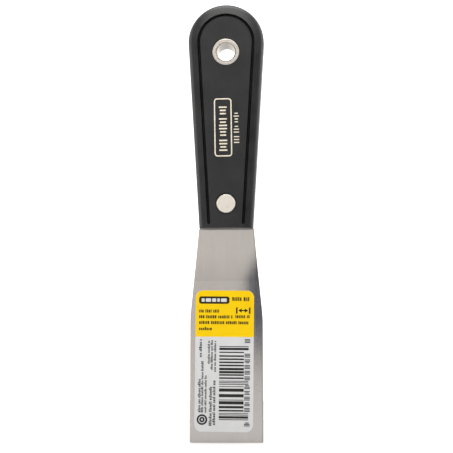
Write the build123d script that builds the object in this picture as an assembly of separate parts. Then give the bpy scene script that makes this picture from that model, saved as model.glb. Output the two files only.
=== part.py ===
from build123d import *
import math
import os

# Flexible putty knife with a riveted two-scale handle, in millimetres.
# The origin is the centre of the hang hole, in the middle plane of the blade.
# +Z runs up the knife towards the round end of the handle, and the front faces -Y.

# Handle outline: a round top end and two straight sides that close in downwards.
top_radius = 16.53
top_centre_z = 4.79
side_angle = 3.39
handle_low_z = -76.9

# Handle thickness: half at the hang hole, and how fast each face falls back below it.
half_thickness = 7.0
face_slope = 0.0135

# Sloping rim round the face of a scale, and the groove along its inner side.
rim_start_angle = 6.0
rim_curve_radius = 14.0
rim_sweep_angle = 26.0
rim_round = 2.3
foot_round = 0.35
foot_overrun = 12.0
wall_band = 0.23
groove_radius = 11.9
groove_centre_z = 4.5
groove_angle = 3.2
groove_width = 1.35
groove_depth = 1.6
groove_wall_angle = 21.5
groove_low_z = -74.7

# Blade: one piece of spring steel, from the top of the handle to the working edge.
tang_inset = 0.15
tang_half_thickness = 0.6
neck_half = 12.05
shoulder_half = 15.8
shoulder_z = -115.2
neck_sagitta = 0.08
shoulder_round = 50.0
edge_half = 15.875
edge_z = -169.55
corner_round = 0.6
side_break = 0.08
grind_start_z = -99.6
grind_flat_z = -125.0
grind_flat_half_thickness = 0.34
edge_half_thickness = 0.24
plate_overrun = 5.0

# Hang-hole eyelet: a barrel with a front flange, its rear end rolled over a washer.
# A thin ring-shaped crease parts the turned mouth from the slightly lower flange.
bore_radius = 3.9
barrel_radius = 4.4
flange_radius = 5.82
flange_seat_y = 6.65
flange_crest_y = 7.42
flange_round = 0.25
mouth_round = 0.2
crease_radius = 4.27
crease_depth = 0.32
flange_drop = 0.14
eyelet_recess_radius = 6.1
washer_face_y = 7.1
washer_round = 0.3
rolled_lip_radius = 5.05
rolled_lip_y = 7.6
rolled_lip_round = 0.6

# Compression rivet near the blade: a tubular half in front and a pin half behind.
rivet_z = -66.4
rivet_head_radius = 4.05
rivet_head_y = 6.22
rivet_seat_y = 4.72
rivet_head_chamfer = 0.2
rivet_recess_radius = 4.55
rivet_tube_radius = 2.4
rivet_pin_radius = 1.6
rivet_end_gap = 0.8

# Adhesive label on the front of the blade, stuck on a little off centre and askew.
label_width = 25.3
label_height = 61.0
label_centre_x = -0.93
label_centre_z = -134.3
label_tilt = 0.57
label_corner = 3.0
label_thickness = 0.1

# How close a corner must be to a height to count as on it, and how steeply an edge must
# rise, as a part of its length, to count as a long side of the blade.
match_tolerance = 0.1
steep_rise = 0.9

# The flat face of the front scale; its local Y runs up the handle.
FRONT_FACE = Plane(
    origin=(0, -half_thickness, 0), x_dir=(1, 0, 0), z_dir=(0, -1, -face_slope)
)


def u_line(radius, centre_z, low_z, closing):
    """An upside-down U: up the right side, over the round top and down the left.

    Below the round top each side closes in by the angle called closing.
    """
    angle = math.radians(closing)
    touch_x = radius * math.cos(angle)
    touch_z = centre_z - radius * math.sin(angle)
    low_x = (radius + (low_z - centre_z) * math.sin(angle)) / math.cos(angle)
    right = Line((low_x, low_z), (touch_x, touch_z))
    top = ThreePointArc((touch_x, touch_z), (0, centre_z + radius), (-touch_x, touch_z))
    left = Line((-touch_x, touch_z), (-low_x, low_z))
    return Wire([right, top, left])


def u_face(radius, centre_z, low_z):
    """The area inside an upside-down U, closed straight across its foot."""
    sides = u_line(radius, centre_z, low_z, side_angle)
    return make_face([*sides.edges(), Line(sides @ 1, sides @ 0)])


def across(radius, z, y_from, y_to):
    """A round bar along Y at height z."""
    return Pos(0, y_from, z) * extrude(Plane.XZ * Circle(radius), amount=y_from - y_to)


def rim_cutter():
    """What lies above the rim, swept along the groove and on past the handle's foot."""
    low_z = handle_low_z - foot_overrun
    path = FRONT_FACE * u_line(groove_radius, groove_centre_z, low_z, groove_angle)
    along = path % 0
    section_plane = Plane(
        origin=path @ 0, x_dir=along.cross(FRONT_FACE.z_dir), z_dir=-along
    )
    angle = math.radians(rim_start_angle)
    inner_x = -groove_width / 4
    inner = (inner_x, -inner_x * math.tan(angle))
    fall = (math.cos(angle), -math.sin(angle))
    slope = JernArc(inner, fall, rim_curve_radius, -rim_sweep_angle)
    outer = slope @ 1
    sky = Polyline(outer, (outer.X, 1), (inner_x, 1), inner)
    section = section_plane * make_face([slope, *sky.edges()])
    return sweep(section, path=path)


def groove_cutter():
    """A V-shaped channel along a U, with round ends and a narrow flat bottom."""
    path = u_line(groove_radius, groove_centre_z, groove_low_z, groove_angle)
    channel = trace(path.edges(), line_width=groove_width)
    for end in (path @ 0, path @ 1):
        channel += Pos(end.X, end.Y) * Circle(groove_width / 2)
    below = extrude(channel, amount=-groove_depth, taper=groove_wall_angle)
    above = extrude(channel, amount=groove_depth)
    return FRONT_FACE * (below + above)


def rim_edges(scale):
    """The long edges where the sloping rim meets the side walls."""
    inner = u_face(top_radius - wall_band, top_centre_z, handle_low_z - foot_overrun)
    core = Solid(extrude(Plane.XZ * inner, amount=3 * half_thickness).wrapped)
    found = []
    for edge in scale.edges():
        middle = edge @ 0.5
        is_outer = not core.is_inside(middle)
        if is_outer and edge.length > top_radius and middle.Y < -half_thickness / 2:
            found.append(edge)
    return found


def foot_edges(scale):
    """The front edges of the handle's flat foot."""
    foot = scale.faces().sort_by(Axis.Z)[0]
    return [edge for edge in foot.edges() if (edge @ 0.5).Y < -half_thickness / 2]


def handle_scale_front():
    """The front half of the handle, from its face to the tang."""
    depth = 2 * half_thickness
    width = 3 * top_radius
    outline = u_face(top_radius, top_centre_z, handle_low_z - foot_overrun / 2)
    scale = extrude(FRONT_FACE * outline, amount=-depth) - rim_cutter()
    length = 2 * top_radius - handle_low_z
    block = Box(width, depth, length)
    scale = scale & Pos(0, -tang_half_thickness - depth / 2, handle_low_z + length / 2) * block
    scale = fillet(rim_edges(scale), rim_round)
    scale = fillet(foot_edges(scale), foot_round)
    scale = scale - groove_cutter()
    scale = scale - across(barrel_radius, 0, -depth, 0)
    scale = scale - across(eyelet_recess_radius, 0, -depth, -flange_seat_y)
    scale = scale - across(rivet_tube_radius, rivet_z, -depth, 0)
    return scale - across(rivet_recess_radius, rivet_z, -depth, -rivet_seat_y)


def handle_scale_rear():
    """The rear half of the handle, the mirror image of the front."""
    return mirror(handle_scale_front(), about=Plane.XZ)


def corners_at(face, height):
    """The corners of a flat outline that lie at the given height."""
    return [v for v in face.vertices() if math.isclose(v.Y, height, abs_tol=match_tolerance)]


def free_blade_face():
    """The blade below the handle: a flaring neck, then a nearly straight end."""
    neck = SagittaArc((neck_half, handle_low_z), (shoulder_half, shoulder_z), -neck_sagitta)
    side = Line((shoulder_half, shoulder_z), (edge_half, edge_z))
    other_neck = mirror(neck, about=Plane.YZ)
    other_side = mirror(side, about=Plane.YZ)
    top = Line((-neck_half, handle_low_z), (neck_half, handle_low_z))
    tip = Line((edge_half, edge_z), (-edge_half, edge_z))
    face = make_face([top, neck, side, tip, other_side, other_neck])
    face = fillet(corners_at(face, shoulder_z), shoulder_round)
    return fillet(corners_at(face, edge_z), corner_round)


def ground_plate(half_width):
    """A plate as thick as the blade at each height: even at the tang, then ground thin."""
    taper = (grind_flat_half_thickness - edge_half_thickness) / (grind_flat_z - edge_z)
    top = (-tang_half_thickness, top_centre_z + top_radius + plate_overrun)
    grind_start = (-tang_half_thickness, grind_start_z)
    grind_flat = (-grind_flat_half_thickness, grind_flat_z)
    low = (taper * plate_overrun - edge_half_thickness, edge_z - plate_overrun)
    tang = Line(top, grind_start)
    hollow = TangentArc(grind_flat, grind_start, tangent=(-taper, 1))
    flat = Line(grind_flat, low)
    front = [tang, hollow, flat]
    rear = [mirror(curve, about=Plane.YZ) for curve in front]
    caps = [Line(top, (-top[0], top[1])), Line(low, (-low[0], low[1]))]
    profile = make_face([*front, *rear, *caps])
    return extrude(Plane.YZ * profile, amount=half_width, both=True)


def side_edges(steel):
    """The long edges along both sides of the free blade, front and rear.

    A chamfer on them carries on round the two corners and along the working edge.
    """
    found = []
    for edge in steel.edges():
        middle = edge @ 0.5
        is_steep = abs((edge % 0.5).Z) > steep_rise
        if is_steep and middle.Z < handle_low_z and abs(middle.X) > neck_half:
            found.append(edge)
    return found


def blade():
    """The free blade and the full tang in one piece, with the two handle holes."""
    tang = u_face(top_radius - tang_inset, top_centre_z, handle_low_z - 1)
    reach = 2 * edge_half
    steel = extrude(Plane.XZ * (tang + free_blade_face()), amount=reach, both=True)
    steel = steel & ground_plate(reach)
    steel = chamfer(side_edges(steel), side_break)
    steel = steel - across(barrel_radius, 0, -reach, reach)
    return steel - across(rivet_tube_radius, rivet_z, -reach, reach)


def label():
    """A thin skin on the blade's front that follows the grind."""
    skin = Pos(0, -label_thickness, 0) * ground_plate(label_width) - ground_plate(label_width)
    outline = RectangleRounded(label_width, label_height, label_corner)
    outline = Pos(label_centre_x, label_centre_z) * Rot(0, 0, -label_tilt) * outline
    return skin & extrude(Plane.XZ * outline, amount=2 * tang_half_thickness)


def eyelet_barrel():
    """A tube with a creased front flange, its rear end rolled out over the washer."""
    outer_y = flange_crest_y - flange_drop
    mouth_start = (bore_radius, mouth_round - flange_crest_y)
    mouth_crest = (bore_radius + mouth_round, -flange_crest_y)
    crease_foot = (crease_radius, crease_depth - flange_crest_y)
    crease_edge = (2 * crease_radius - bore_radius - mouth_round, -outer_y)
    flange_brow = (flange_radius - flange_round, -outer_y)
    flange_edge = (flange_radius, flange_round - outer_y)
    rear_mouth = (bore_radius, rolled_lip_y - rolled_lip_round)
    rear_crest = (bore_radius + rolled_lip_round, rolled_lip_y)
    lip_edge = (rolled_lip_radius, washer_face_y)
    half_section = [
        TangentArc(mouth_start, mouth_crest, tangent=(0, -1)),
        Line(mouth_crest, crease_foot),
        Line(crease_foot, crease_edge),
        Line(crease_edge, flange_brow),
        TangentArc(flange_brow, flange_edge, tangent=(1, 0)),
        Line(flange_edge, (flange_radius, -flange_seat_y)),
        Line((flange_radius, -flange_seat_y), (barrel_radius, -flange_seat_y)),
        Line((barrel_radius, -flange_seat_y), (barrel_radius, washer_face_y)),
        Line((barrel_radius, washer_face_y), lip_edge),
        TangentArc(rear_crest, lip_edge, tangent=(1, 0)),
        TangentArc(rear_mouth, rear_crest, tangent=(0, 1)),
        Line(rear_mouth, mouth_start),
    ]
    return revolve(make_face(half_section), axis=Axis.Y)


def eyelet_washer():
    """A flat ring with a rounded outer edge, under the barrel's rolled end."""
    ring = across(flange_radius, 0, flange_seat_y, washer_face_y)
    brow = ring.faces().sort_by(Axis.Y)[-1].edges()
    ring = fillet(brow, washer_round)
    return ring - across(barrel_radius, 0, 0, 2 * washer_face_y)


def rivet_head():
    """The front rivet head: a thick disc with a chamfered rim."""
    head = across(rivet_head_radius, rivet_z, -rivet_head_y, -rivet_seat_y)
    rim = head.faces().sort_by(Axis.Y)[0].edges()
    return chamfer(rim, rivet_head_chamfer)


def rivet_female():
    """The front half: a head and a tube that reaches nearly to the rear head."""
    tube_end_y = rivet_seat_y - rivet_end_gap
    tube = across(rivet_tube_radius, rivet_z, -rivet_seat_y, tube_end_y)
    hollow = across(rivet_pin_radius, rivet_z, -rivet_seat_y, tube_end_y)
    return rivet_head() + (tube - hollow)


def rivet_male():
    """The rear half: a head and a solid pin, pressed into the tube of the front half."""
    pin = across(rivet_pin_radius, rivet_z, rivet_end_gap - rivet_seat_y, rivet_seat_y)
    return mirror(rivet_head(), about=Plane.XZ) + pin


PIECES = {
    "blade": blade,
    "handle_scale_front": handle_scale_front,
    "handle_scale_rear": handle_scale_rear,
    "eyelet_barrel": eyelet_barrel,
    "eyelet_washer": eyelet_washer,
    "rivet_female": rivet_female,
    "rivet_male": rivet_male,
    "label": label,
}

os.makedirs("parts", exist_ok=True)
for name, make in PIECES.items():
    export_step(make(), f"parts/{name}.step")
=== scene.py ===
import math
import random

import bmesh
import bpy
from mathutils import Matrix, Vector
from mathutils.bvhtree import BVHTree


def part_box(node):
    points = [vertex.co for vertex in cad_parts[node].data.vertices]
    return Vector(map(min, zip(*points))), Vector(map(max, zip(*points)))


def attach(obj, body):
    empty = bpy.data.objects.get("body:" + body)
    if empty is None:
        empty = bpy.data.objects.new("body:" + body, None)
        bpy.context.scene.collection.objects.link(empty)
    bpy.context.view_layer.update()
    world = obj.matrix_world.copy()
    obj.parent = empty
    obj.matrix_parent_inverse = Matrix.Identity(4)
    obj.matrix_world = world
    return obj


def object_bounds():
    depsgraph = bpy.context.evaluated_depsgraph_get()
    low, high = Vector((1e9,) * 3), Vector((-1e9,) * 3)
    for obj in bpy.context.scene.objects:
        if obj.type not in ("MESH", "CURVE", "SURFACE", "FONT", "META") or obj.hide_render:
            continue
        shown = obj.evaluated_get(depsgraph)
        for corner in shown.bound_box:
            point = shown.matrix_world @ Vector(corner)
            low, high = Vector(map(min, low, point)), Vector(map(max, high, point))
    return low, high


# Looks of a flexible putty knife around its CAD model. The handle points up +Z and the
# front faces -Y. Everything is in metres, so lengths below are written as numbers of MM.
MM = 0.001

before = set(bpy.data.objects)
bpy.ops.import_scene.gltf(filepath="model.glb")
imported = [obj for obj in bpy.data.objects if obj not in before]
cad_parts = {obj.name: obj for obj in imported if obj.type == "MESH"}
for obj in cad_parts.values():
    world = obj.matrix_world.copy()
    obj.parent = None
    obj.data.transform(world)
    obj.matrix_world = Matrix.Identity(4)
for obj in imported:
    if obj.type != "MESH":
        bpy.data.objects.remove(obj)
CAD_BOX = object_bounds()
KNIFE_MIDDLE = (CAD_BOX[0] + CAD_BOX[1]) / 2

# Camera: a long lens, a little below the middle of the knife and a little to its right.
CAMERA_DISTANCE = 0.75
CAMERA_AZIMUTH = 2.3
CAMERA_ELEVATION = -5.5
CAMERA_LENS = 136.7
CAMERA_SENSOR = 36.0
CAMERA_AIM = Vector((0, 0, -75.83 * MM))

# Label on the blade, as it was stuck on: its centre comes from its CAD box.
LABEL_WIDTH = 25.3 * MM
LABEL_HEIGHT = 61.0 * MM
LABEL_CORNER = 3.0 * MM
LABEL_TILT = -0.57
HEADER_HEIGHT = 20.1 * MM

# Print and foil: how far a layer stands off the face below, how deep its back sits, and
# how often it is cut across so that it follows the face. Rays that find the face start
# RAY_CLEARANCE in front of its node.
INK_LAYER = 0.012 * MM
INK_ROOT = 0.004 * MM
PRINT_STEP = 2.0 * MM
RAY_CLEARANCE = 10 * MM

# Blocks that stand for print. Their heights, as in mixed or in nearly all tall letters,
# the pitch and the gap between words are parts of the line's height. Their widths and the
# gap between blocks are parts of the pitch. A word has between so many blocks.
MIXED = (0.7, 0.7, 1.0)
TALL = (0.9, 1.0, 1.0)
BLOCK_PITCH = 0.62
BLOCK_WIDTHS = (0.5, 0.62, 0.62, 0.78)
BLOCK_GAP = 0.26
WORD_GAP = 0.4
WORD_BLOCKS = (3, 8)

# Blade: about how wide it is from the middle to the side, at the handle and lower down,
# the width of the painted shade along its right edge, which stands for a reflection of dark,
# and the line across it where its colour steps, as a painted reflection. The steel gets
# lighter over PAINTED_STEP_FADE above that line; below it, painted shade darkens it, less
# and less down to TONE_END_Z.
NECK_Z = -76.9 * MM
NECK_HALF = 12.0 * MM
SHOULDER_Z = -115.2 * MM
SHOULDER_HALF = 15.85 * MM
EDGE_SHADE_WIDTH = 0.8 * MM
PAINTED_STEP_LINE = -99.6 * MM
PAINTED_STEP_LINE_HALF = 0.3 * MM
PAINTED_STEP_FADE = 12 * MM
TONE_END_Z = -150 * MM
STEEL_DARK = (0.76, 0.70, 0.645, 1)
STEEL_LIGHT = (0.86, 0.79, 0.73, 1)

# Bow of the blade's right margin: how far it leans at most, and over what width the lean
# grows. It starts at the side just below the handle, comes in towards the middle, and
# fades out between two heights lower down.
BOW_LEAN = 0.19
BOW_WIDTH = 9.8 * MM
BOW_TOP_Z = -82 * MM
BOW_TOP_INNER = 12.2 * MM
BOW_WIDE_Z = -99 * MM
BOW_WIDE_INNER = 3.6 * MM
BOW_FULL_Z = -111 * MM
BOW_END_Z = -151 * MM

# Foil stamp on the handle's front face.
STAMP_CENTRE = Vector((-1.24 * MM, -33.15 * MM))
STAMP_TILT = 0.8
FOIL_DULL = (0.88, 0.78, 0.62, 1)
FOIL_BRIGHT = (0.94, 0.85, 0.70, 1)

# Studio: the floor's half-width, the lamps, the brightness of the room in front of the
# knife and of the wall behind it, and the cards, which show only in reflections.
FLOOR_HALF = 4.0
LAMP_DISTANCE = 0.9
LAMP_WHITE = (1.0, 0.99, 0.98)
ROOM_LEVEL = 0.66
WALL_LEVEL = 1.75
CARD_DISTANCE = 0.7
CARD_HEIGHT = 0.62
LOW_CARD_WIDTH = 2.0
LOW_CARD_LIFT = 0.2 * MM
LOW_CARD_GAP = 0.5 * MM


def link(thing):
    """Adds an object to the scene."""
    bpy.context.scene.collection.objects.link(thing)
    return thing


def heading(azimuth, elevation):
    """The unit vector from the knife towards a place, by angles in degrees."""
    a, e = math.radians(azimuth), math.radians(elevation)
    return Vector((math.sin(a) * math.cos(e), -math.cos(a) * math.cos(e), math.sin(e)))


def make_camera():
    """The camera, aimed near the middle of the knife."""
    back = heading(CAMERA_AZIMUTH, CAMERA_ELEVATION)
    data = bpy.data.cameras.new("camera")
    data.lens = CAMERA_LENS
    data.sensor_width = CAMERA_SENSOR
    camera = link(bpy.data.objects.new("camera", data))
    camera.location = CAMERA_AIM + back * CAMERA_DISTANCE
    camera.rotation_mode = "QUATERNION"
    camera.rotation_quaternion = (-back).to_track_quat("-Z", "Y")
    bpy.context.scene.camera = camera


make_camera()


class Look:
    """A Principled material, with short ways to add the nodes that vary it."""

    def __init__(self, name, **constants):
        self.material = bpy.data.materials.new(name)
        self.material.use_nodes = True
        self.tree = self.material.node_tree
        self.shader = self.tree.nodes["Principled BSDF"]
        for socket, value in constants.items():
            self.shader.inputs[socket.replace("_", " ")].default_value = value
        self.place = self.node("ShaderNodeTexCoord").outputs["Object"]

    def node(self, kind, settings=None, **inputs):
        """A node with its settings, and its inputs linked or set by name or by number."""
        made = self.tree.nodes.new(kind)
        for name, value in (settings or {}).items():
            setattr(made, name, value)
        for name, value in inputs.items():
            name = name.replace("_", " ")
            socket = made.inputs[int(name[2:]) if name.startswith("in") else name]
            if isinstance(value, bpy.types.NodeSocket):
                self.tree.links.new(value, socket)
            else:
                socket.default_value = value
        return made

    def math(self, operation, a, b):
        """One step of arithmetic on numbers or sockets."""
        return self.node("ShaderNodeMath", {"operation": operation}, in0=a, in1=b).outputs[0]

    def axes(self):
        """The object's x, y and z, in metres."""
        return self.node("ShaderNodeSeparateXYZ", in0=self.place).outputs

    def noise(self, size, stretch=(1, 1, 1), detail=3.0, roughness=0.5):
        """Noise whose features are about size metres, times stretch along each axis."""
        scale = tuple(1 / (size * s) for s in stretch)
        spot = self.node("ShaderNodeMapping", Vector=self.place, Scale=scale).outputs[0]
        made = self.node(
            "ShaderNodeTexNoise", Vector=spot, Scale=1.0, Detail=detail, Roughness=roughness
        )
        return made.outputs["Fac"]

    def spread(self, value, low, high, start=0.3, end=0.7, smooth=False):
        """Value from start to end, carried over to low to high."""
        kind = "SMOOTHSTEP" if smooth else "LINEAR"
        made = self.node(
            "ShaderNodeMapRange",
            {"interpolation_type": kind},
            Value=value,
            From_Min=start,
            From_Max=end,
            To_Min=low,
            To_Max=high,
        )
        return made.outputs[0]

    def blend(self, factor, first, second):
        """Two colours mixed by a factor."""
        made = self.node("ShaderNodeMix", {"data_type": "RGBA"})
        for index, value in ((0, factor), (6, first), (7, second)):
            socket = made.inputs[index]
            if isinstance(value, bpy.types.NodeSocket):
                self.tree.links.new(value, socket)
            else:
                socket.default_value = value
        return made.outputs[2]

    def bump(self, height, distance, strength=1.0, normal=None):
        """A bump of height 0 to 1 that is distance metres deep."""
        made = self.node("ShaderNodeBump", Height=height, Distance=distance, Strength=strength)
        if normal is not None:
            self.tree.links.new(normal, made.inputs["Normal"])
        return made.outputs[0]

    def drive(self, **sockets):
        """Links outputs to the shader's own sockets."""
        for name, value in sockets.items():
            self.tree.links.new(value, self.shader.inputs[name.replace("_", " ")])
        return self.material


def grey(level, warmth=0.0):
    """A linear grey, warmer above 0 and cooler below."""
    return (level * (1 + warmth), level, level * (1 - warmth), 1.0)


def nylon():
    """Moulded black nylon: a fine spark-eroded skin, a little mottled and scuffed."""
    look = Look("nylon", Specular_IOR_Level=0.45)
    mottle = look.noise(9 * MM, detail=4.0)
    skin = look.noise(0.28 * MM, detail=2.0)
    scuff = look.noise(0.35 * MM, stretch=(1, 1, 14), detail=3.0)
    colour = look.blend(look.spread(mottle, 0.0, 1.0), grey(0.007), grey(0.012, 0.02))
    rough = look.math("ADD", look.spread(mottle, 0.32, 0.38), look.spread(scuff, -0.04, 0.04))
    fine = look.bump(skin, 0.012 * MM, 0.6)
    return look.drive(
        Base_Color=colour, Roughness=rough, Normal=look.bump(scuff, 0.006 * MM, 0.5, fine)
    )


def steel_tone(look, x, z, cloud):
    """How light the steel is: painted shade along the right edge, a painted reflection step across
    the blade, and painted shade below that step.
    """
    half = look.spread(z, NECK_HALF, SHOULDER_HALF, NECK_Z, SHOULDER_Z)
    from_side = look.math("SUBTRACT", half, x)
    # Painted shade: a dark band along the right edge, standing for the dark card mirrored in its
    # bevel.
    side = look.spread(from_side, 0.60, 1.0, 0.0, EDGE_SHADE_WIDTH, smooth=True)
    # Painted reflection: a step in lightness at the line across the blade, and painted shade that
    # darkens the blade below it.
    above = look.spread(z, 0.86, 1.0, PAINTED_STEP_LINE, PAINTED_STEP_LINE + PAINTED_STEP_FADE)
    below = look.spread(z, 0.92, 0.95, PAINTED_STEP_LINE, TONE_END_Z)
    line_low = PAINTED_STEP_LINE - PAINTED_STEP_LINE_HALF
    line_high = PAINTED_STEP_LINE + PAINTED_STEP_LINE_HALF
    is_above = look.spread(z, 0.0, 1.0, line_low, line_high)
    step = look.math("MULTIPLY", look.math("SUBTRACT", above, below), is_above)
    tone = look.math("MULTIPLY", look.math("ADD", below, step), side)
    return look.math("MULTIPLY", tone, look.spread(cloud, 0.97, 1.03))


def bowed_normal(look, x, z):
    """The face's normal, leaning more and more to the right across the right margin."""
    inner = look.spread(z, BOW_TOP_INNER, BOW_WIDE_INNER, BOW_TOP_Z, BOW_WIDE_Z)
    inside = look.math("SUBTRACT", x, inner)
    bow = look.spread(z, 1.0, 0.0, BOW_FULL_Z, BOW_END_Z)
    lean = look.math("MULTIPLY", look.spread(inside, 0.0, BOW_LEAN, 0.0, BOW_WIDTH), bow)
    tilt = look.node("ShaderNodeCombineXYZ", X=lean).outputs[0]
    face = look.node("ShaderNodeNewGeometry").outputs["Normal"]
    turned = look.node("ShaderNodeVectorMath", {"operation": "ADD"}, in0=face, in1=tilt)
    unit = look.node("ShaderNodeVectorMath", {"operation": "NORMALIZE"}, in0=turned.outputs[0])
    return unit.outputs[0]


def blade_steel():
    """Satin-ground spring steel: fine lines up the blade and slow cloudy changes.

    The right margin's normals lean a little, as if it were bowed, so it mirrors the room further
    to the right.
    """
    look = Look("blade_steel", Metallic=1.0, Anisotropic=0.85)
    lines = look.noise(0.07 * MM, stretch=(1, 1, 260), detail=3.0, roughness=0.65)
    bands = look.noise(0.8 * MM, stretch=(1, 1, 40), detail=2.0)
    cloud = look.noise(14 * MM, stretch=(0.7, 1, 1.6), detail=2.0)
    streak = look.math("ADD", look.math("MULTIPLY", lines, 0.6), look.math("MULTIPLY", bands, 0.4))
    x, _, z = look.axes()
    tone = steel_tone(look, x, z, cloud)
    colour = look.blend(look.spread(streak, 0.0, 1.0), STEEL_DARK, STEEL_LIGHT)
    shaded = look.node("ShaderNodeVectorMath", {"operation": "SCALE"}, in0=colour, Scale=tone)
    rough = look.math("ADD", look.spread(streak, 0.16, 0.21), look.spread(cloud, -0.01, 0.01))
    return look.drive(
        Base_Color=shaded.outputs[0],
        Roughness=rough,
        Normal=look.bump(lines, 0.004 * MM, 0.5, bowed_normal(look, x, z)),
    )


def nickel(name, dark, light, low_rough, high_rough):
    """Dull nickel plate with a faint rippled skin."""
    look = Look(name, Metallic=1.0)
    cloud = look.noise(1.2 * MM, detail=3.0)
    grain = look.noise(0.12 * MM, detail=3.0)
    colour = look.blend(look.spread(cloud, 0.0, 1.0), dark, light)
    rough = look.spread(look.math("ADD", cloud, grain), low_rough, high_rough, 0.6, 1.4)
    return look.drive(
        Base_Color=colour, Roughness=rough, Normal=look.bump(grain, 0.003 * MM, 0.4)
    )


def coated_paper(name, first, second, gloss=0.5):
    """Coated paper or print on it, with fibres just showing."""
    look = Look(name, Specular_IOR_Level=gloss)
    fibre = look.noise(0.16 * MM, stretch=(1, 1, 3), detail=3.0)
    cloud = look.noise(6 * MM, detail=3.0)
    mix = look.math("ADD", look.math("MULTIPLY", fibre, 0.35), look.math("MULTIPLY", cloud, 0.65))
    rough = look.spread(fibre, 0.40, 0.55)
    return look.drive(
        Base_Color=look.blend(look.spread(mix, 0.0, 1.0), first, second),
        Roughness=rough,
        Normal=look.bump(fibre, 0.003 * MM, 0.5),
    )


def foil():
    """Pale gold stamping foil, thin enough to show the nylon's skin and small voids."""
    look = Look("foil", Metallic=0.85)
    skin = look.noise(0.28 * MM, detail=2.0)
    worn = look.noise(0.5 * MM, detail=4.0)
    colour = look.blend(look.spread(worn, 0.0, 1.0, 0.35, 0.65), FOIL_DULL, FOIL_BRIGHT)
    return look.drive(
        Base_Color=colour,
        Roughness=look.spread(worn, 0.32, 0.5),
        Normal=look.bump(skin, 0.01 * MM, 0.5),
    )


def floor_paper():
    """Pale matt studio floor with a very faint mottle."""
    look = Look("floor", Roughness=0.7)
    mottle = look.noise(60 * MM, detail=2.0)
    return look.drive(Base_Color=look.blend(mottle, grey(0.76), grey(0.78)))


NYLON = nylon()
STEEL = blade_steel()
EYELET_NICKEL = nickel("eyelet_nickel", (0.52, 0.48, 0.43, 1), (0.62, 0.57, 0.51, 1), 0.30, 0.42)
RIVET_NICKEL = nickel("rivet_nickel", (0.86, 0.79, 0.69, 1), (0.93, 0.86, 0.76, 1), 0.34, 0.44)
PAPER = coated_paper("label_paper", grey(0.51), grey(0.57))
YELLOW = coated_paper("label_yellow", (0.72, 0.455, 0.001, 1), (0.78, 0.515, 0.002, 1), 0.1)
INK = coated_paper("label_ink", grey(0.012, 0.1), grey(0.020, 0.1), 0.25)
HEAD_INK = coated_paper("label_head_ink", (0.020, 0.012, 0.003, 1), (0.03, 0.019, 0.005, 1), 0.2)
WHITE_INK = coated_paper("label_white", grey(0.51), grey(0.57))
FOIL = foil()

NODE_LOOKS = {
    "blade": (STEEL, "blade_steel"),
    "handle_scale_front": (NYLON, "handle_nylon"),
    "handle_scale_rear": (NYLON, "handle_nylon"),
    "eyelet_barrel": (EYELET_NICKEL, "plated_nickel"),
    "eyelet_washer": (EYELET_NICKEL, "plated_nickel"),
    "rivet_female": (RIVET_NICKEL, "plated_nickel"),
    "rivet_male": (RIVET_NICKEL, "plated_nickel"),
    "label": (PAPER, "label_paper"),
}
for node_name, (material, slot_name) in NODE_LOOKS.items():
    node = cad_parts[node_name]
    for material_slot in node.material_slots:
        material_slot.material = material


class Sheet:
    """The front face of a CAD node, as a sheet that flat shapes are printed on.

    Shapes are drawn in the sheet's own u and v, from its centre, and turned by its tilt.
    """

    def __init__(self, node, centre, tilt):
        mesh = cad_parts[node].data
        corners = [v.co for v in mesh.vertices]
        self.tree = BVHTree.FromPolygons(corners, [p.vertices[:] for p in mesh.polygons])
        self.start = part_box(node)[0].y - RAY_CLEARANCE
        self.centre = centre
        self.turn = Matrix.Rotation(math.radians(tilt), 2)

    def face_y(self, x, z):
        """Where the face is, at a place in the plane of the knife."""
        hit = self.tree.ray_cast(Vector((x, self.start, z)), Vector((0, 1, 0)))[0]
        return hit.y

    def put(self, name, outlines, material, slot_name, layer=1):
        """Thin closed slabs of the given outlines, following the face below them."""
        shape = bmesh.new()
        for outline in outlines:
            points = [self.centre + self.turn @ Vector(p) for p in outline]
            shape.faces.new([shape.verts.new((p.x, 0, p.y)) for p in points])
        low = min(v.co.z for v in shape.verts)
        high = max(v.co.z for v in shape.verts)
        for step in range(1, math.ceil((high - low) / PRINT_STEP)):
            bmesh.ops.bisect_plane(
                shape,
                geom=shape.verts[:] + shape.edges[:] + shape.faces[:],
                plane_co=(0, 0, low + step * PRINT_STEP),
                plane_no=(0, 0, 1),
            )
        for face in shape.faces:
            face.normal_update()
            if face.normal.y > 0:
                face.normal_flip()
        for vert in shape.verts:
            vert.co.y = self.face_y(vert.co.x, vert.co.z) - INK_LAYER * layer
        front = shape.faces[:]
        made = bmesh.ops.extrude_face_region(shape, geom=front, use_keep_orig=True)
        for item in made["geom"]:
            if isinstance(item, bmesh.types.BMVert):
                item.co.y += INK_LAYER * layer + INK_ROOT
        bmesh.ops.recalc_face_normals(shape, faces=shape.faces[:])
        mesh = bpy.data.meshes.new(name)
        shape.to_mesh(mesh)
        shape.free()
        mesh.materials.append(material)
        piece = link(bpy.data.objects.new(name, mesh))
        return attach(piece, "root")


def bar(u, v, width, height):
    """A rectangle by its centre and size."""
    a, b = width / 2, height / 2
    return [(u - a, v - b), (u + a, v - b), (u + a, v + b), (u - a, v + b)]


def rounded(u, v, width, height, radius, steps=6):
    """A rectangle with round corners."""
    points = []
    for quarter in range(4):
        across = 1 if quarter in (0, 3) else -1
        up = 1 if quarter < 2 else -1
        corner = (u + across * (width / 2 - radius), v + up * (height / 2 - radius))
        for step in range(steps + 1):
            angle = math.pi / 2 * (quarter + step / steps)
            points.append(
                (corner[0] + radius * math.cos(angle), corner[1] + radius * math.sin(angle))
            )
    return points


label_low, label_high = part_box("label")
label_centre = Vector(
    ((label_low.x + label_high.x) / 2, (label_low.z + label_high.z) / 2)
)
label_sheet = Sheet("label", label_centre, LABEL_TILT)
stamp_sheet = Sheet("handle_scale_front", STAMP_CENTRE, STAMP_TILT)


def scaled(*numbers):
    """Millimetres as metres."""
    return [number * MM for number in numbers]


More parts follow.
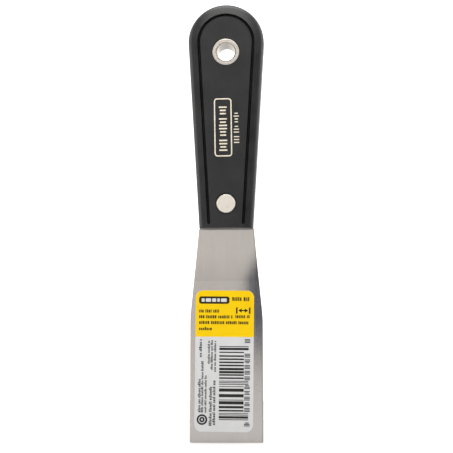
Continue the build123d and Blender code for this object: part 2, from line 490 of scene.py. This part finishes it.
def words(chance, start, end, height, place, sizes=MIXED):
    """Small blocks that stand for a line of print, in words, from start to end.

    Each is about as wide and tall as a letter, and is set by place(middle, width, height).
    Its height is one of the sizes, as a part of the line's.
    """
    blocks = []
    pitch = height * BLOCK_PITCH
    at = start
    left = chance.randint(*WORD_BLOCKS)
    while at + pitch < end:
        wide = pitch * chance.choice(BLOCK_WIDTHS)
        blocks.append(place(at + wide / 2, wide, height * chance.choice(sizes)))
        at += wide + pitch * BLOCK_GAP
        left -= 1
        if left == 0:
            at += height * WORD_GAP
            left = chance.randint(*WORD_BLOCKS)
    return blocks


def text_row(chance, left, right, middle, height, sizes):
    """A level line of print on the label."""
    base = middle - height / 2

    def place(u, wide, tall):
        return bar(u, base + tall / 2, wide, tall)

    return words(chance, left, right, height, place, sizes)


def text_column(chance, low, high, middle, height):
    """A line of print turned to run up the label."""
    base = middle + height / 2

    def place(v, wide, tall):
        return bar(base - tall / 2, v, tall, wide)

    return words(chance, low, high, height, place)


def ring(u, v, radius, line):
    """A flat ring, as two halves."""
    outer = rounded(u, v, 2 * radius, 2 * radius, radius)
    small = radius - line
    inner = rounded(u, v, 2 * small, 2 * small, small)
    return strip_halves(outer, inner)


def strip_halves(outer, inner):
    """The strip between two outlines with matching points, cut in two so each is open."""
    halves = []
    count = len(outer)
    for first in (0, count // 2):
        path = [(first + i) % count for i in range(count // 2 + 1)]
        halves.append([outer[i] for i in path] + [inner[i] for i in reversed(path)])
    return halves


def width_mark():
    """A bold dimension sign: two end bars with a double arrow between them."""
    left, right, middle = scaled(5.2, 10.8, 21.85)
    head, half_head, gap = scaled(1.5, 0.95, 0.65)
    ends = [bar(end, middle, 0.7 * MM, 2.7 * MM) for end in (left, right)]
    shaft = bar((left + right) / 2, middle, right - left - 2 * (gap + head), 0.5 * MM)
    arrows = []
    for side, way in ((left, 1), (right, -1)):
        tip = side + way * gap
        foot = tip + way * head
        arrows.append([(tip, middle), (foot, middle - half_head), (foot, middle + half_head)])
    return [*ends, shaft, *arrows]


def bar_code(chance):
    """Bars of random width and spacing, longer at both ends and in the middle.

    They are no real code: the widths mean nothing.
    """
    low, high, left, right, long_right = scaled(-25.4, 6.9, -2.2, 8.5, 10.5)
    module = 0.34 * MM
    bars = []

    def field(start, end, far_right, bar_widths, gap_widths):
        v = start
        while v < end - module / 2:
            wide = min(chance.choice(bar_widths) * module, end - v)
            bars.append(bar((left + far_right) / 2, v + wide / 2, far_right - left, wide))
            v += wide + chance.choice(gap_widths) * module

    low_end, middle_low, middle_high, high_end = scaled(-22.4, -10.2, -8.4, 4.7)
    gap = 2 * module
    field(low, low_end, long_right, (1, 1, 3), (1, 1, 2))
    field(low_end + gap, middle_low - gap, right, (1, 2, 3, 4), (1, 2, 2, 3))
    field(middle_low, middle_high, long_right, (1,), (1,))
    field(middle_high + gap, high_end - gap, right, (1, 2, 3, 3), (1, 2, 2, 3))
    field(high_end, high, long_right, (1, 3), (1,))
    return bars


def tally(chance):
    """A column of marks beside the bars, each a stack of three short strokes."""
    middle, line, step = scaled(9.95, 0.40, 0.62)
    pitch = 2.45
    places = [8.7, -27.2]
    for start in (2.4, -11.2):
        places += [start - pitch * index for index in range(5)]
    marks = []
    for place in places:
        for stroke in (-1, 0, 1):
            long = chance.choice((2.4, 2.4, 1.7)) * MM
            marks.append(bar(middle, place * MM + stroke * step, long, line))
    return marks


def label_badge():
    """A dark badge with plain pale blocks in it."""
    middle = 26.3
    outline = rounded(*scaled(-4.6, middle, 13.2, 3.2, 1.0))
    label_sheet.put("label_badge", [outline], HEAD_INK, "label_ink", layer=2)
    blocks = []
    at = -10.1
    gap = 0.5
    for width in (1.3, 2.3, 1.7, 1.1, 2.5):
        blocks.append(rounded(*scaled(at + width / 2, middle, width, 1.5, 0.3)))
        at += width + gap
    label_sheet.put("label_badge_blocks", blocks, WHITE_INK, "label_paper", layer=3)


def label_disc():
    """A plain dark disc with a pale ring and dot, at the label's lower left corner."""
    u, v, radius = scaled(-9.42, -25.3, 2.3)
    disc = rounded(u, v, 2 * radius, 2 * radius, radius, steps=12)
    label_sheet.put("label_disc", [disc], INK, "label_ink")
    pale = ring(u, v, radius * 0.66, radius * 0.15)
    dot = radius * 0.36
    pale.append(rounded(u, v, dot, dot, dot / 2))
    label_sheet.put("label_disc_ring", pale, WHITE_INK, "label_paper", layer=2)


def print_label():
    """A yellow head with a badge and lines of print, over bars and small print.

    Nothing on it is lettering or a real code: all of it is blocks, bars and discs.
    """
    put = label_sheet.put
    chance = random.Random(7)
    inset = 0.03 * MM
    half = LABEL_WIDTH / 2 - inset
    low = LABEL_HEIGHT / 2 - HEADER_HEIGHT
    whole = rounded(0, 0, 2 * half, LABEL_HEIGHT - 2 * inset, LABEL_CORNER)
    head = [(half, low), *[p for p in whole if p[1] > 0], (-half, low)]
    put("label_yellow_field", [head], YELLOW, "label_yellow")
    label_badge()
    rows = []
    for left, right, middle, height, sizes in (
        (3.2, 11.3, 26.85, 1.7, TALL),
        (-11.1, -1.6, 21.56, 1.35, TALL),
        (-11.1, 3.8, 19.05, 1.35, TALL),
        (-11.1, 11.6, 16.57, 1.35, TALL),
        (-11.1, -4.8, 13.98, 1.5, MIXED),
        (4.6, 11.2, 19.21, 1.35, TALL),
    ):
        rows += text_row(chance, *scaled(left, right, middle, height), sizes)
    put("label_header_print", rows, HEAD_INK, "label_ink", layer=2)
    put("label_width_mark", width_mark(), HEAD_INK, "label_ink", layer=2)
    put("label_bars", bar_code(chance), INK, "label_ink")
    columns = []
    for low_v, high_v, middle, height in (
        (-22.2, -7.4, -10.75, 1.2),
        (-22.2, 0.1, -9.5, 1.05),
        (-22.3, -6.1, -8.05, 1.0),
        (1.6, 9.7, -10.4, 1.25),
        (-1.3, 9.4, -6.8, 1.0),
        (-3.9, 9.4, -5.5, 1.0),
        (-4.7, 9.4, -4.1, 1.05),
        (-27.9, -10.0, -5.9, 1.25),
        (-27.6, -8.0, -4.35, 1.25),
    ):
        columns += text_column(chance, *scaled(low_v, high_v, middle, height))
    put("label_small_print", columns, INK, "label_ink")
    put("label_tally", tally(chance), INK, "label_ink")
    label_disc()


def print_stamp():
    """A pale gold frame with plain bars in it, and a row of short bars beside it."""
    width, height, radius, line = scaled(7.7, 25.5, 1.4, 0.52)
    outer = rounded(0, 0, width, height, radius)
    inner = rounded(0, 0, width - 2 * line, height - 2 * line, radius - line)
    stamp_sheet.put("stamp_frame", strip_halves(outer, inner), FOIL, "stamp_foil")
    chance = random.Random(11)
    for name, u, start, groups, lengths, thick, pitch, gap in (
        ("stamp_bars", 0.0, -10.0, (4, 6, 3), (3.5, 3.5, 2.6), 0.62, 1.42, 0.9),
        ("stamp_ticks", 5.8, -6.7, (3, 3, 4), (2.3, 2.3, 1.5), 0.45, 1.25, 0.75),
    ):
        bars = []
        v = start
        for count in groups:
            for _ in range(count):
                bars.append(bar(*scaled(u, v, chance.choice(lengths), thick)))
                v += pitch
            v += gap
        stamp_sheet.put(name, bars, FOIL, "stamp_foil")


print_label()
print_stamp()


def make_floor():
    """A pale floor at the height of the working edge."""
    mesh = bpy.data.meshes.new("floor")
    shape = bmesh.new()
    bmesh.ops.create_grid(shape, x_segments=8, y_segments=8, size=FLOOR_HALF)
    shape.to_mesh(mesh)
    shape.free()
    mesh.materials.append(floor_paper())
    floor = link(bpy.data.objects.new("floor", mesh))
    floor.location.z = CAD_BOX[0].z


def make_softbox(name, azimuth, elevation, width, height, radiance):
    """A rectangular lamp that faces the knife."""
    data = bpy.data.lights.new(name, "AREA")
    data.shape = "RECTANGLE"
    data.size, data.size_y = width, height
    data.energy = radiance * math.pi * width * height
    data.color = LAMP_WHITE
    lamp = link(bpy.data.objects.new(name, data))
    way = heading(azimuth, elevation)
    lamp.location = KNIFE_MIDDLE + way * LAMP_DISTANCE
    lamp.rotation_mode = "QUATERNION"
    lamp.rotation_quaternion = way.to_track_quat("Z", "Y")
    lamp.visible_camera = False
    return lamp


def make_card(name, place, facing, width, height, colour):
    """A plain card that shows only in reflections: a unit square, scaled."""
    mesh = bpy.data.meshes.new(name)
    shape = bmesh.new()
    bmesh.ops.create_grid(shape, x_segments=1, y_segments=1, size=0.5)
    shape.to_mesh(mesh)
    shape.free()
    look = Look(name, Base_Color=colour, Roughness=1.0, Specular_IOR_Level=0.0)
    mesh.materials.append(look.material)
    card = link(bpy.data.objects.new(name, mesh))
    card.location = place
    card.scale = (width, height, 1)
    card.rotation_mode = "QUATERNION"
    card.rotation_quaternion = facing.to_track_quat("Z", "Y")
    card.visible_camera = False
    card.visible_diffuse = False
    card.visible_shadow = False


def make_cards():
    """A dark card right of the camera, a grey one left of it, and two low grey ones.

    The low ones lie just above the floor, in front of the knife and behind it. The rear
    one is short, so that the floor doesn't reflect it towards the camera.
    """
    for name, azimuth, width, colour in (
        ("card_right", 21.5, 0.28, (0.02, 0.03, 0.05, 1)),
        ("card_left", -25, 0.26, grey(0.3)),
    ):
        way = heading(azimuth, 0)
        make_card(name, KNIFE_MIDDLE + way * CARD_DISTANCE, way, width, CARD_HEIGHT, colour)
    for name, side, depth in (("card_low_front", -1, 2.0), ("card_low_rear", 1, 0.6)):
        middle = side * (depth / 2 + LOW_CARD_GAP)
        low = Vector((0, middle, CAD_BOX[0].z + LOW_CARD_LIFT))
        make_card(name, low, Vector((0, 0, 1)), LOW_CARD_WIDTH, depth, grey(0.41, -0.035))


def make_world():
    """A studio whose far wall is brighter than the room in front of the knife."""
    world = bpy.data.worlds.new("studio")
    bpy.context.scene.world = world
    world.use_nodes = True
    tree = world.node_tree
    direction = tree.nodes.new("ShaderNodeTexCoord").outputs["Generated"]
    split = tree.nodes.new("ShaderNodeSeparateXYZ")
    tree.links.new(direction, split.inputs[0])
    level = tree.nodes.new("ShaderNodeMapRange")
    level.interpolation_type = "SMOOTHSTEP"
    for name, value in (
        ("From Min", -0.5),
        ("From Max", 0.5),
        ("To Min", ROOM_LEVEL),
        ("To Max", WALL_LEVEL),
    ):
        level.inputs[name].default_value = value
    tree.links.new(split.outputs["Y"], level.inputs["Value"])
    background = tree.nodes["Background"]
    background.inputs["Color"].default_value = (1.0, 1.0, 1.0, 1.0)
    tree.links.new(level.outputs[0], background.inputs["Strength"])


def make_lamps():
    """Three soft boxes, and one overhead that lights only mirror-like reflections."""
    for name, azimuth, elevation, width, height, radiance, lights_matt in (
        ("softbox_top", 0, 44, 0.62, 0.62, 3.0, True),
        ("softbox_left", -74, 5, 0.66, 0.8, 1.8, True),
        ("softbox_right", 84, 24, 0.5, 0.6, 2.2, True),
        ("softbox_over", 0, 76, 0.7, 0.36, 6.5, False),
    ):
        lamp = make_softbox(name, azimuth, elevation, width, height, radiance)
        lamp.visible_diffuse = lights_matt


make_floor()
make_world()
make_cards()
make_lamps()

scene = bpy.context.scene
scene.view_settings.view_transform = "Standard"
scene.view_settings.look = "None"
